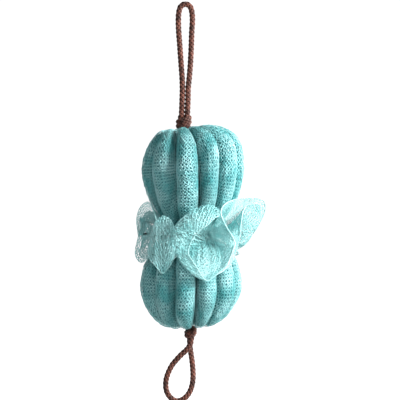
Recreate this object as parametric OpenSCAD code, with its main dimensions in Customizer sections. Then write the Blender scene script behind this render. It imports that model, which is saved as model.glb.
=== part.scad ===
// Back scrubber of netting tubes: two braided cord loops, and ten foam-filled tubes of netting
// that are bound at both ends, tied at the waist and dressed there with a gathered frill.
// Millimetres, +Z up. The origin is the hang point, the top of the inside of the hanging loop.

/* [Cord] */
// Diameter of the braided cord of both loops
cord_d = 6.4; // [5:0.2:6.6]
// Radius of the knot at the foot of the hanging loop
top_knot_r = 8.5; // [7:0.5:8.5]
// Radius of the knot at the head of the hand loop
bottom_knot_r = 7.4; // [6:0.2:7.4]

/* [Tube bunches] */
// Radius of the ring that the tubes' middles lie on where a bunch is widest
ring_r = 47; // [44:1:49]
// Half thickness of a tube where it is thickest
tube_r = 14.5; // [12:0.5:15]
// Height of the upper bunch, from the waist to the tubes' highest middle
upper_h = 120; // [114:1:122]
// Height of the lower bunch, from the waist to the tubes' lowest middle
lower_h = 106; // [100:1:108]
// Thickness of a tube's netting
net_wall = 0.8; // [0.6:0.1:1.2]
// Gap between two tubes that lie side by side
tube_gap = 0.6; // [0.4:0.1:1]
// Gap between a foam core and the netting around it
core_gap = 0.3; // [0.2:0.1:0.6]

/* [Waist] */
// Radius of the ring of cord that ties the waist
tie_ring_r = 13; // [12.5:0.5:14]
// Radius of the thread ring that the frill is gathered on
frill_ring_r = 18; // [17.5:0.5:19]
// How far the frill reaches from the middle of the waist
frill_reach = 74; // [66:1:76]
// How much further the frill flares on its right side
frill_flare = 13; // [6:1:13]
// Height of the frill's waves at its edge
frill_wave = 7; // [3:1:8]
// Thickness of the frill's netting
frill_wall = 1.2; // [0.8:0.1:1.6]

/* [Hidden] */
UPPER_SLEEVES = [for (n = [1:10]) str("upper_sleeve_", n < 10 ? "0" : "", n)];
UPPER_CORES = [for (n = [1:10]) str("upper_foam_core_", n < 10 ? "0" : "", n)];
LOWER_SLEEVES = [for (n = [1:10]) str("lower_sleeve_", n < 10 ? "0" : "", n)];
LOWER_CORES = [for (n = [1:10]) str("lower_foam_core_", n < 10 ? "0" : "", n)];

net_color = "#8fd3d0";
foam_color = "#4f9c9c";
cord_color = "#6b4640";
thread_color = "#5aa6a6";

// Middles of the two knots, which the loops swing about
top_knot_at = [-2, 0, -137];
bottom_knot_at = [6, 0, -390];
// Middle of the waist, where the tie goes round
waist_at = [7.5, 0, -270];
// Directions of the creases between neighbouring tubes, in degrees from the front towards the
// right: at the waist, where the bunch is widest, and at the tubes' tips
upper_creases = [
    [-34, -25, -23], [16, 11, 11], [42, 37, 39], [72, 69, 70], [107, 105, 106],
    [143, 143, 143], [181, 182, 182], [219, 221, 221], [258, 259, 259], [298, 298, 298]
];
lower_creases = [
    [-30, -22, -30], [12, 9, 10], [40, 37, 38], [71, 70, 70], [106, 106, 106],
    [143, 143, 143], [181, 181, 181], [220, 220, 220], [261, 261, 260], [304, 308, 302]
];

// A tube's middle line from the waist to its tip: share of ring_r, share of the bunch's height,
// share of tube_r
upper_line = [
    [0.25, 0.085, 0.42],
    [0.29, 0.125, 0.50],
    [0.58, 0.17, 0.66],
    [0.86, 0.36, 0.88],
    [1.00, 0.64, 1.00],
    [0.92, 0.835, 0.95],
    [0.64, 0.954, 0.80],
    [0.35, 0.973, 0.56],
    [0.18, 0.927, 0.32]
];
lower_line = [
    [0.25, 0.095, 0.42],
    [0.29, 0.14, 0.50],
    [0.58, 0.18, 0.66],
    [0.88, 0.33, 0.90],
    [1.00, 0.58, 1.00],
    [0.92, 0.80, 0.95],
    [0.64, 0.945, 0.80],
    [0.35, 0.967, 0.56],
    [0.18, 0.912, 0.32]
];
// How a bunch differs from a straight one: +1 above the waist or -1 below, its height, how far its
// widest part stands aside of the waist, how far its tip leans to its knot, how much higher its
// right side stands, how much narrower its tip is drawn, and its tubes' middle line
UPPER = [1, upper_h, 1.5, top_knot_at[0] - waist_at[0] - 1.5, 0.12, 0, upper_line];
LOWER = [-1, lower_h, -1, bottom_knot_at[0] - waist_at[0] + 1, 0.05, 0.08, lower_line];
sleeve_rings = 12;
tube_sides = 10;
// A tube is pressed wider than its share of the ring, so that its sides lie flat on its neighbours
squeeze = 1.12;

// Cord routes, from one leg's end at the knot round the loop to the other leg's end
hanging_route = [
    [-4.6, 0, -128], [-4, 0, -112], [-3.6, 0, -97], [-4, 0, -84], [-5, 0, -70],
    [-6, 0, -56], [-7, 0, -42], [-8, 0, -29], [-8.4, 0, -17], [-8, 0, -8],
    [-6.4, 0, -1.2], [-3.4, 0, 2.2], [0, 0, 3.2], [3.4, 0, 2.2], [6.4, 0, -1.2],
    [8, 0, -8], [8.4, 0, -17], [7.6, 0, -29], [7.2, 0, -42], [6.6, 0, -56],
    [5.8, 0, -70], [4.6, 0, -84], [3.3, 0, -97], [3, 0, -112], [2.2, 0, -128]
];
hand_route = [
    [6.6, -3.5, -399], [5.4, -3.5, -405], [1, -3.5, -411], [-5, -3.2, -416.5],
    [-11, -2.6, -423], [-16.5, -2, -430], [-20.5, -1.2, -438], [-23.2, -0.6, -446],
    [-24, 0, -454], [-22.8, 0, -462], [-18.6, 0, -469], [-12, 0, -473.4],
    [-5, 0, -472.4], [1, 0, -468], [5.4, 0, -461.5], [8, 0.6, -453.5],
    [9, 1.2, -445], [8.8, 2, -436], [8, 2.8, -427], [6.6, 3.5, -417],
    [5.4, 3.5, -408], [4.8, 3.5, -399]
];
cord_sides = 8;

frill_steps = 5;
frill_turns = 60;
upper_ruffles = 7;
lower_ruffles = 8;
ruffle_slope = 0.25;

// ---- Helpers ----

// A point of a smooth line through the points p, with u counted in points
function along(p, u) =
    let (
        i = min(floor(u), len(p) - 2),
        f = u - i,
        a = p[max(i - 1, 0)],
        b = p[i],
        c = p[i + 1],
        d = p[min(i + 2, len(p) - 1)]
    )
    0.5 * (2 * b + (c - a) * f + (2 * a - 5 * b + 4 * c - d) * f * f
        + (3 * b - a - 3 * c + d) * f * f * f);

// 0 below a, 1 above b, and a smooth step between
function ramp(x, a, b) = let (t = min(max((x - a) / (b - a), 0), 1)) t * t * (3 - 2 * t);

function unit(v) = v / norm(v);

// Triangles between two rings that start at the points a and b
function ring_faces(a, b, sides) = [
    for (k = [0:sides - 1])
        let (n = (k + 1) % sides)
            each [[a + k, b + k, b + n], [a + k, b + n, a + n]]
];

function turned(faces) = [for (f = faces) [f[2], f[1], f[0]]];

// Faces of a stack of rings with a cap on each end
function capped_faces(rings, sides) = concat(
    [for (i = [0:rings - 2]) each ring_faces(i * sides, (i + 1) * sides, sides)],
    [for (k = [1:sides - 2]) [0, k, k + 1]],
    turned([
        for (k = [1:sides - 2])
            let (a = (rings - 1) * sides)
                [a, a + k, a + k + 1]
    ])
);

// Faces of a pipe: outer rings first, then as many inner rings
function pipe_faces(rings, sides) =
    let (n = rings * sides, last = (rings - 1) * sides)
    concat(
        [for (i = [0:rings - 2]) each ring_faces(i * sides, (i + 1) * sides, sides)],
        turned([for (i = [0:rings - 2]) each ring_faces(n + i * sides, n + (i + 1) * sides, sides)]),
        turned(ring_faces(0, n, sides)),
        ring_faces(last, n + last, sides)
    );

// ---- Netting tubes and their foam ----

// One ring of a tube, in a bunch that stands straight: inset is measured in from the netting's
// outer face, and the crease planes on both sides hold the ring in
function tube_ring(u, bunch, middle, half, inset) =
    let (
        line = bunch[6],
        at = along(line, u),
        step = 0.05,
        past = along(line, min(u + step, len(line) - 1)),
        before = along(line, max(u - step, 0)),
        go = unit([(past[0] - before[0]) * ring_r, (past[1] - before[1]) * bunch[1]]),
        r = at[0] * ring_r,
        h = at[1] * bunch[1],
        thick = at[2] * tube_r - inset,
        wide = min(r * tan(half) * squeeze, at[2] * tube_r * squeeze * squeeze) - inset
    )
    [
        for (k = [0:tube_sides - 1])
            let (
                turn = 360 * (k + 0.5) / tube_sides,
                out = thick * cos(turn),
                rr = r + out * go[1],
                limit = rr * tan(half) - (tube_gap / 2 + inset) / cos(half),
                side = max(-limit, min(limit, wide * sin(turn)))
            )
            [
                rr * sin(middle) + side * cos(middle),
                -rr * cos(middle) + side * sin(middle),
                h - out * go[0]
            ]
    ];

// Puts a point of a straight bunch where it stands in this bunch
function placed(p, bunch) =
    let (
        share = p[2] / bunch[1],
        draw = 1 - bunch[5] * ramp(share, 0.6, 0.95),
        lean = ramp(share, 0.5, 0.9) * (1 - ramp(norm([p[0], p[1]]), 14, 62)),
        rise = bunch[4] * p[0] * ramp(share, 0.4, 0.9)
    )
    waist_at + [
        p[0] * draw + bunch[2] * ramp(share, 0.1, 0.4) + bunch[3] * lean,
        p[1] * draw,
        bunch[0] * p[2] + rise
    ];

// A crease's direction at a share of the bunch's height
function crease_at(crease, share) =
    crease[1] + (crease[0] - crease[1]) * (1 - ramp(share, 0.1, 0.55))
        + (crease[2] - crease[1]) * ramp(share, 0.6, 0.95);

// A tube's rings from number first to number last, where they stand
function tube_rings(n, creases, bunch, inset, first, last) =
    let (step = (len(bunch[6]) - 1) / (sleeve_rings - 1))
    [
        for (i = [first:last])
            let (
                share = along(bunch[6], i * step)[1],
                from = crease_at(creases[n], share),
                to = crease_at(creases[(n + 1) % 10], share) + (n < 9 ? 0 : 360)
            )
                for (p = tube_ring(i * step, bunch, (from + to) / 2, (to - from) / 2, inset))
                    placed(p, bunch)
    ];

module tube_sleeve(n, creases, bunch) {
    outer = tube_rings(n, creases, bunch, 0, 0, sleeve_rings - 1);
    inner = tube_rings(n, creases, bunch, net_wall, 0, sleeve_rings - 1);
    faces = pipe_faces(sleeve_rings, tube_sides);
    color(net_color)
        polyhedron(concat(outer, inner), bunch[0] > 0 ? faces : turned(faces));
}

module tube_core(n, creases, bunch) {
    points = tube_rings(n, creases, bunch, net_wall + core_gap, 1, sleeve_rings - 2);
    faces = capped_faces(sleeve_rings - 2, tube_sides);
    color(foam_color)
        polyhedron(points, bunch[0] > 0 ? faces : turned(faces));
}

module upper_sleeve(n) {
    tube_sleeve(n, upper_creases, UPPER);
}

module upper_core(n) {
    tube_core(n, upper_creases, UPPER);
}

module lower_sleeve(n) {
    tube_sleeve(n, lower_creases, LOWER);
}

module lower_core(n) {
    tube_core(n, lower_creases, LOWER);
}

// ---- Cord loops and knots ----

// One ring of a cord around point i of its route
function cord_ring(route, i) =
    let (
        go = unit(route[min(i + 1, len(route) - 1)] - route[max(i - 1, 0)]),
        side = unit(cross(go, [0, 1, 0])),
        up = cross(side, go)
    )
    [
        for (k = [0:cord_sides - 1])
            let (turn = 360 * k / cord_sides)
                route[i] + cord_d / 2 * (side * cos(turn) + up * sin(turn))
    ];

module cord(route) {
    points = [for (i = [0:len(route) - 1]) each cord_ring(route, i)];
    color(cord_color)
        polyhedron(points, turned(capped_faces(len(route), cord_sides)));
}

module hanging_loop() {
    cord(hanging_route);
}

module hand_loop() {
    cord(hand_route);
}

// A ball of cord with a groove between its turns
module knot(r, turns) {
    groove = 0.9;
    pitch = 1.5 * r / turns;
    difference() {
        sphere(r = r, $fn = 48);
        for (i = [1:turns - 1])
            let (z = (i - turns / 2) * pitch)
                translate([0, 0, z])
                    rotate_extrude($fn = 48)
                        translate([sqrt(r * r - z * z), 0])
                            circle(r = groove, $fn = 16);
    }
}

module top_knot() {
    color(cord_color)
        translate(top_knot_at)
            knot(top_knot_r, 4);
}

module bottom_knot() {
    color(cord_color)
        translate(bottom_knot_at)
            knot(bottom_knot_r, 3);
}

// Thread wound round the tubes' gathered ends, next to a knot
module binding(length, r) {
    thread_r = 1.2;
    turns = floor(length / (2 * thread_r));
    color(thread_color)
        rotate_extrude($fn = 48)
            union() {
                square([r - thread_r, turns * 2 * thread_r]);
                for (i = [0:turns - 1])
                    translate([r - thread_r, (2 * i + 1) * thread_r])
                        circle(r = thread_r, $fn = 16);
            }
}

module top_binding() {
    length = 12;
    translate(top_knot_at - [0, 0, top_knot_r + 0.6 + length])
        binding(length, 5);
}

module bottom_binding() {
    length = 12;
    translate(bottom_knot_at + [0, 0, bottom_knot_r + 0.6])
        binding(length, 5);
}

// ---- Waist ----

// Two turns of cord round the waist
module waist_tie() {
    turn_r = 1.9;
    color(thread_color)
        translate(waist_at)
            for (way = [-1, 1])
                translate([0, 0, way * turn_r * 0.85])
                    rotate_extrude($fn = 64)
                        translate([tie_ring_r, 0])
                            circle(r = turn_r, $fn = 24);
}

// The tubes' middles, pressed together by the tie
module gathered_neck() {
    color(net_color)
        translate(waist_at)
            sphere(r = tie_ring_r - 3, $fn = 48);
}

module frill_thread() {
    thread_r = 1.4;
    color(thread_color)
        translate(waist_at)
            rotate_extrude($fn = 64)
                translate([frill_ring_r, 0])
                    circle(r = thread_r, $fn = 24);
}

// Height of a ruffle's middle above the waist, at a share s of its way out
function ruffle_rise(s, turn, ruffles, r) =
    1.6 + ruffle_slope * (r - frill_ring_r)
        + frill_wave * s * s * (sin(ruffles * turn) + 0.3 * sin((ruffles + 3) * turn + 50));

// One ruffle: rings round the waist, out along the face next to the tubes and back along the other
module ruffle(ruffles, way) {
    start_r = frill_ring_r + 2.2;
    loop = 2 * (frill_steps + 1);
    points = [
        for (j = [0:frill_turns - 1])
            for (i = [0:loop - 1])
                let (
                    turn = 360 * j / frill_turns,
                    out = i <= frill_steps ? i : loop - 1 - i,
                    s = out / frill_steps,
                    edge = frill_reach + frill_flare * pow(max(cos(turn), 0), 2)
                        - 4 * max(-cos(turn), 0) + 2 * sin(5 * turn),
                    r = start_r + s * (edge - start_r),
                    face = i <= frill_steps ? 0.5 : -0.5,
                    h = ruffle_rise(s, turn, ruffles, r) + face * frill_wall
                )
                waist_at + [r * cos(turn), r * sin(turn), way * h]
    ];
    faces = [
        for (j = [0:frill_turns - 1])
            each ring_faces(j * loop, ((j + 1) % frill_turns) * loop, loop)
    ];
    color(net_color)
        polyhedron(points, way > 0 ? faces : turned(faces));
}

module frill_upper_ruffle() {
    ruffle(upper_ruffles, 1);
}

module frill_lower_ruffle() {
    ruffle(lower_ruffles, -1);
}

hanging_loop();
top_knot();
top_binding();
for (n = [0:9]) upper_sleeve(n);
for (n = [0:9]) upper_core(n);
waist_tie();
gathered_neck();
frill_upper_ruffle();
frill_thread();
frill_lower_ruffle();
for (n = [0:9]) lower_sleeve(n);
for (n = [0:9]) lower_core(n);
bottom_binding();
bottom_knot();
hand_loop();
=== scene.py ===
"""Looks of a hanging back scrubber: netting tubes over foam, a gathered frill and braided cord loops.

Everything stands in metres in the part's own frame: the hang point is the origin, +Z is up and -Y
is the front. Sizes are given in millimetres, as in the part's source, and MM turns them to metres.
"""

import logging
import math
from dataclasses import dataclass, field
from enum import Enum
from typing import Any, Sequence

import bmesh
import bpy
import numpy as np
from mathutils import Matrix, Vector


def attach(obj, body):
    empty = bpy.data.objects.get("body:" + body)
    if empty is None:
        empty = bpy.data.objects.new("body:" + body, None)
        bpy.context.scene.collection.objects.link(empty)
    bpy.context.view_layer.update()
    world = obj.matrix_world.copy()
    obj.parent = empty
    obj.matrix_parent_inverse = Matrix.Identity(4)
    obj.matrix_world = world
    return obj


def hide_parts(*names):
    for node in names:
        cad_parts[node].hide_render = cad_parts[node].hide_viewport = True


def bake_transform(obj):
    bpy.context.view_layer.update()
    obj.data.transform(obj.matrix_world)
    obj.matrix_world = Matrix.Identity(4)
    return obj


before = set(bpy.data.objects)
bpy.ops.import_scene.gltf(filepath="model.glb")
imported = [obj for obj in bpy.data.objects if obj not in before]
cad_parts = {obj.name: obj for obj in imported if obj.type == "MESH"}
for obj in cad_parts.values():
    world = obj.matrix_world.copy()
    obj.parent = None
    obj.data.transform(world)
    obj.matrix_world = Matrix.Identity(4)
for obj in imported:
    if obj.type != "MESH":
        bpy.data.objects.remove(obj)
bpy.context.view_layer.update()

MM = 0.001
FULL_TURN = 6.283
LOG = logging.getLogger("back_scrubber")

Array = np.ndarray


class Way(Enum):
    """Which way a bunch or a ruffle stands from the waist."""

    UP = 1
    DOWN = -1


# ---- Small helpers ----


def linear(hex_colour: str) -> tuple[float, float, float, float]:
    """Turns an sRGB hex colour to a linear one.

    Args:
        hex_colour: six hex digits, with or without a leading #.

    Returns:
        The linear red, green and blue, and 1 for alpha.
    """
    digits = hex_colour.lstrip("#")
    shares = [int(digits[i : i + 2], 16) / 255 for i in (0, 2, 4)]
    turned = [c / 12.92 if c <= 0.04045 else ((c + 0.055) / 1.055) ** 2.4 for c in shares]
    return (turned[0], turned[1], turned[2], 1.0)


def add_node(tree: bpy.types.NodeTree, kind: str, inputs: dict[Any, Any] | None = None,
             **settings: Any) -> bpy.types.Node:
    """Adds a node with its settings, values and links.

    Args:
        tree: the tree that gets the node.
        kind: the node's type name.
        inputs: for each input's name or number, its value or the socket that feeds it.
        **settings: the node's own properties.

    Returns:
        The new node.
    """
    node = tree.nodes.new(kind)
    for name, value in settings.items():
        setattr(node, name, value)
    for key, value in (inputs or {}).items():
        if isinstance(value, bpy.types.NodeSocket):
            tree.links.new(value, node.inputs[key])
        else:
            node.inputs[key].default_value = value
    return node


def along(points: Array, u: Array) -> Array:
    """Points of the smooth line through given points.

    Args:
        points: the given points, one to a row.
        u: places on the line, counted in points.

    Returns:
        One row for each place.
    """
    last = len(points) - 1
    i = np.minimum(np.floor(u).astype(int), last - 1)
    f = (u - i)[:, None]
    a, b, c, d = (points[np.clip(i + k, 0, last)] for k in (-1, 0, 1, 2))
    return 0.5 * (2 * b + (c - a) * f + (2 * a - 5 * b + 4 * c - d) * f**2 + (3 * b - a - 3 * c + d) * f**3)


def ramp(x: Array, low: float, high: float) -> Array:
    """0 below low, 1 above high and a smooth step between."""
    t = np.clip((x - low) / (high - low), 0, 1)
    return t * t * (3 - 2 * t)


def unit(vectors: Array) -> Array:
    """Vectors along the last axis, made one long."""
    return vectors / np.maximum(np.linalg.norm(vectors, axis=-1, keepdims=True), 1e-12)


def evenly(points: Array, step: float) -> Array:
    """A line's points, placed again at even steps.

    Args:
        points: the line, one point to a row.
        step: the distance between two new points, at most.

    Returns:
        The new points, from the line's first to its last.
    """
    run = np.concatenate([[0], np.cumsum(np.linalg.norm(np.diff(points, axis=0), axis=1))])
    wanted = np.linspace(0, run[-1], max(2, math.ceil(run[-1] / step) + 1))
    return np.stack([np.interp(wanted, run, points[:, k]) for k in range(3)], axis=1)


def line_frames(points: Array) -> tuple[Array, Array]:
    """Two side directions at each point of a line, with as little twist as it allows.

    Args:
        points: the line, one point to a row.

    Returns:
        The two directions square to the line.
    """
    go = unit(np.gradient(points, axis=0))
    side = np.zeros_like(points)
    first = np.cross(go[0], [0.0, 1.0, 0.0])
    side[0] = unit(first if np.linalg.norm(first) > 0.1 else np.cross(go[0], [1.0, 0.0, 0.0]))
    for i in range(1, len(points)):
        side[i] = unit(side[i - 1] - go[i] * (side[i - 1] @ go[i]))
    return side, np.cross(go, side)


def link(name: str, mesh: bpy.types.Mesh) -> bpy.types.Object:
    """Puts a mesh in the scene as an object at the origin.

    Args:
        name: the object's name.
        mesh: its mesh.

    Returns:
        The object.
    """
    made = bpy.data.objects.new(name, mesh)
    bpy.context.scene.collection.objects.link(made)
    return made


def grid_mesh(name: str, points: Array, wraps: bool, caps: bool = False) -> bpy.types.Mesh:
    """A mesh over rows of points.

    Args:
        name: the mesh's name.
        points: rows by columns by 3.
        wraps: whether each row's last point joins its first.
        caps: whether the first and last row get a closing face.

    Returns:
        The mesh, shaded smooth.
    """
    rows, columns = points.shape[:2]
    steps = columns if wraps else columns - 1
    faces = []
    for i in range(rows - 1):
        for k in range(steps):
            n = (k + 1) % columns
            faces.append((i * columns + k, i * columns + n, (i + 1) * columns + n, (i + 1) * columns + k))
    if caps:
        faces.append(tuple(range(columns))[::-1])
        faces.append(tuple((rows - 1) * columns + k for k in range(columns)))
    mesh = bpy.data.meshes.new(name)
    mesh.from_pydata(points.reshape(-1, 3).tolist(), [], faces)
    mesh.polygons.foreach_set("use_smooth", [True] * len(faces))
    mesh.update()
    return mesh


def face_outwards(mesh: bpy.types.Mesh) -> None:
    """Turns a closed mesh whose faces point inwards.

    Args:
        mesh: the mesh, changed in place.
    """
    mesh.calc_loop_triangles()
    at = np.array([v.co for v in mesh.vertices])
    corners = at[np.array([t.vertices for t in mesh.loop_triangles])]
    volume = (corners[:, 0] * np.cross(corners[:, 1], corners[:, 2])).sum() / 6
    if volume < 0:
        mesh.flip_normals()


# ---- Finishes ----


@dataclass(frozen=True)
class Finish:
    """What every finish has: a name, the part's material slot it stands for, and a colour."""

    name: str
    slot: str
    colour: str

    def start(self) -> tuple[bpy.types.Material, bpy.types.NodeTree, bpy.types.Node]:
        """Makes the material with its shader and output.

        Returns:
            The material, its tree and its shader node.
        """
        material = bpy.data.materials.new(self.name)
        material.use_nodes = True
        tree = material.node_tree
        tree.nodes.clear()
        shader = add_node(tree, "ShaderNodeBsdfPrincipled", {"Base Color": linear(self.colour)})
        add_node(tree, "ShaderNodeOutputMaterial", {"Surface": shader.outputs["BSDF"]})
        material.diffuse_color = linear(self.colour)
        return material, tree, shader

    def shaded(self, tree: bpy.types.NodeTree, place: bpy.types.NodeSocket, scale: float, dark: str, light: str,
               low: float = 0.35, high: float = 0.65) -> bpy.types.NodeSocket:
        """A colour that drifts between a darker and a lighter tone in soft patches.

        Args:
            tree: the material's tree.
            place: the coordinates that the patches lie on.
            scale: patches to a metre.
            dark: the darker tone.
            light: the lighter tone.
            low: the noise value that gives the darker tone.
            high: the noise value that gives the lighter tone.

        Returns:
            The colour's socket.
        """
        noise = add_node(tree, "ShaderNodeTexNoise", {"Vector": place, "Scale": scale, "Detail": 3.0})
        mix = add_node(tree, "ShaderNodeValToRGB", {"Fac": noise.outputs["Fac"]})
        mix.color_ramp.elements[0].position, mix.color_ramp.elements[0].color = low, linear(dark)
        mix.color_ramp.elements[1].position, mix.color_ramp.elements[1].color = high, linear(light)
        return mix.outputs["Color"]


@dataclass(frozen=True)
class KnittedNetting(Finish):
    """Polyethylene netting, knitted from soft flat yarn: satin, a little see-through, with fine
    filaments along each yarn that catch a dull gleam."""

    dark: str = "#4AAFB1"
    light: str = "#A6E3E4"
    see_through: float = 0.12
    filament_mm: float = 0.28
    filaments: int = 7
    twists_per_m: float = 180.0

    def build(self) -> bpy.types.Material:
        """Makes the material.

        Returns:
            The material.
        """
        material, tree, shader = self.start()
        place = add_node(tree, "ShaderNodeTexCoord").outputs["Object"]
        # Dye takes unevenly on knitted yarn, so its tone drifts over 20 mm or so
        tone = self.shaded(tree, place, 45.0, self.dark, self.light)
        tree.links.new(tone, shader.inputs["Base Color"])
        shader.inputs["Roughness"].default_value = 0.42
        shader.inputs["IOR"].default_value = 1.51
        shader.inputs["Specular IOR Level"].default_value = 0.9
        shader.inputs["Sheen Weight"].default_value = 0.16
        shader.inputs["Sheen Roughness"].default_value = 0.5
        # Filaments run along the yarn, twisted a little round it
        run = add_node(tree, "ShaderNodeAttribute", attribute_name="yarn_run").outputs["Fac"]
        turn = add_node(tree, "ShaderNodeAttribute", attribute_name="yarn_turn").outputs["Fac"]
        twist = add_node(tree, "ShaderNodeMath", {0: run, 1: self.twists_per_m, 2: turn}, operation="MULTIPLY_ADD")
        lines = add_node(tree, "ShaderNodeMath", {0: twist.outputs[0], 1: FULL_TURN * self.filaments},
                         operation="MULTIPLY")
        wave = add_node(tree, "ShaderNodeMath", {0: lines.outputs[0]}, operation="SINE")
        bump = add_node(tree, "ShaderNodeBump", {"Height": wave.outputs[0], "Strength": 0.35,
                                                 "Distance": self.filament_mm * 0.2 * MM})
        tree.links.new(bump.outputs["Normal"], shader.inputs["Normal"])
        # Thin yarn lets part of the light through
        glow = add_node(tree, "ShaderNodeBsdfTranslucent", {"Color": tone})
        both = add_node(tree, "ShaderNodeMixShader",
                        {"Fac": self.see_through, 1: shader.outputs["BSDF"], 2: glow.outputs["BSDF"]})
        out = next(n for n in tree.nodes if n.type == "OUTPUT_MATERIAL")
        tree.links.new(both.outputs["Shader"], out.inputs["Surface"])
        return material


@dataclass(frozen=True)
class SoftFoam(Finish):
    """Open-celled polyurethane foam, dyed teal: dull, with pores of a millimetre or so, each painted darker in its
    middle as shade.
    """

    pore_mm: float = 1.3
    # Colour of the painted shade in the pores
    painted_shade: str = "#1B4E52"

    def build(self) -> bpy.types.Material:
        """Makes the material.

        Returns:
            The material.
        """
        material, tree, shader = self.start()
        place = add_node(tree, "ShaderNodeTexCoord").outputs["Object"]
        # Painted shade: each pore darkens towards its middle, where its hollow lies in shade
        cells = add_node(tree, "ShaderNodeTexVoronoi", {"Vector": place, "Scale": 1 / (self.pore_mm * MM)})
        depth = add_node(tree, "ShaderNodeValToRGB", {"Fac": cells.outputs["Distance"]})
        depth.color_ramp.elements[0].position, depth.color_ramp.elements[0].color = 0.1, linear(self.painted_shade)
        depth.color_ramp.elements[1].position, depth.color_ramp.elements[1].color = 0.6, linear(self.colour)
        tree.links.new(depth.outputs["Color"], shader.inputs["Base Color"])
        shader.inputs["Roughness"].default_value = 0.9
        shader.inputs["Specular IOR Level"].default_value = 0.2
        bump = add_node(tree, "ShaderNodeBump", {"Height": cells.outputs["Distance"], "Strength": 0.6,
                                                 "Distance": 0.4 * MM})
        tree.links.new(bump.outputs["Normal"], shader.inputs["Normal"])
        return material


@dataclass(frozen=True)
class BraidedPolyester(Finish):
    """Braided polyester cord, dyed brown: satin yarn with fine filaments along each carrier."""

    dark: str = "#38190F"
    light: str = "#7D4838"
    # Colour and strength of the painted shade at the carriers' edges
    dip_shade: str = "#1C0B07"
    edge_shade: float = 0.85
    filaments: int = 12
    twists_per_m: float = 60.0

    def build(self) -> bpy.types.Material:
        """Makes the material.

        Returns:
            The material.
        """
        material, tree, shader = self.start()
        place = add_node(tree, "ShaderNodeTexCoord").outputs["Object"]
        tone = self.shaded(tree, place, 160.0, self.dark, self.light)
        turn = add_node(tree, "ShaderNodeAttribute", attribute_name="yarn_turn").outputs["Fac"]
        run = add_node(tree, "ShaderNodeAttribute", attribute_name="yarn_run").outputs["Fac"]
        # Painted shade: a carrier is darkened at both edges, where it dips under its neighbours
        angle = add_node(tree, "ShaderNodeMath", {0: turn, 1: FULL_TURN}, operation="MULTIPLY")
        across = add_node(tree, "ShaderNodeMath", {0: angle.outputs[0]}, operation="SINE")
        edge = add_node(tree, "ShaderNodeMath", {0: across.outputs[0], 1: across.outputs[0]}, operation="MULTIPLY")
        painted_shade = add_node(tree, "ShaderNodeMath", {0: edge.outputs[0], 1: self.edge_shade}, operation="MULTIPLY")
        shade = add_node(tree, "ShaderNodeMix", {"Factor": painted_shade.outputs[0], 6: tone, 7: linear(self.dip_shade)},
                         data_type="RGBA")
        tree.links.new(shade.outputs[2], shader.inputs["Base Color"])
        shader.inputs["Roughness"].default_value = 0.6
        shader.inputs["Specular IOR Level"].default_value = 0.3
        shader.inputs["Sheen Weight"].default_value = 0.12
        shader.inputs["Sheen Roughness"].default_value = 0.4
        # Each carrier holds a few dozen filaments, drawn as a dozen so that they show
        twist = add_node(tree, "ShaderNodeMath", {0: run, 1: self.twists_per_m, 2: turn}, operation="MULTIPLY_ADD")
        lines = add_node(tree, "ShaderNodeMath", {0: twist.outputs[0], 1: FULL_TURN * self.filaments},
                         operation="MULTIPLY")
        wave = add_node(tree, "ShaderNodeMath", {0: lines.outputs[0]}, operation="SINE")
        bump = add_node(tree, "ShaderNodeBump", {"Height": wave.outputs[0], "Strength": 0.5, "Distance": 0.08 * MM})
        tree.links.new(bump.outputs["Normal"], shader.inputs["Normal"])
        return material


@dataclass(frozen=True)
class PaleFloor(Finish):
    """Matt painted board, pale and plain."""

    # The board's glow on the object, as a share of the glow that it shows
    glow_on_object: float = 0.34

    def build(self) -> bpy.types.Material:
        """Makes the material.

        Returns:
            The material.
        """
        material, tree, shader = self.start()
        shader.inputs["Roughness"].default_value = 0.9
        shader.inputs["Emission Color"].default_value = linear("#FFFFFF")
        # It shows bright, but throws little light up at the object
        seen = add_node(tree, "ShaderNodeLightPath").outputs["Is Camera Ray"]
        glow = add_node(tree, "ShaderNodeMath", {0: seen, 1: self.glow_on_object}, operation="MAXIMUM")
        tree.links.new(glow.outputs[0], shader.inputs["Emission Strength"])
        return material


# ---- Yarn on lines, by geometry nodes ----


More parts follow.
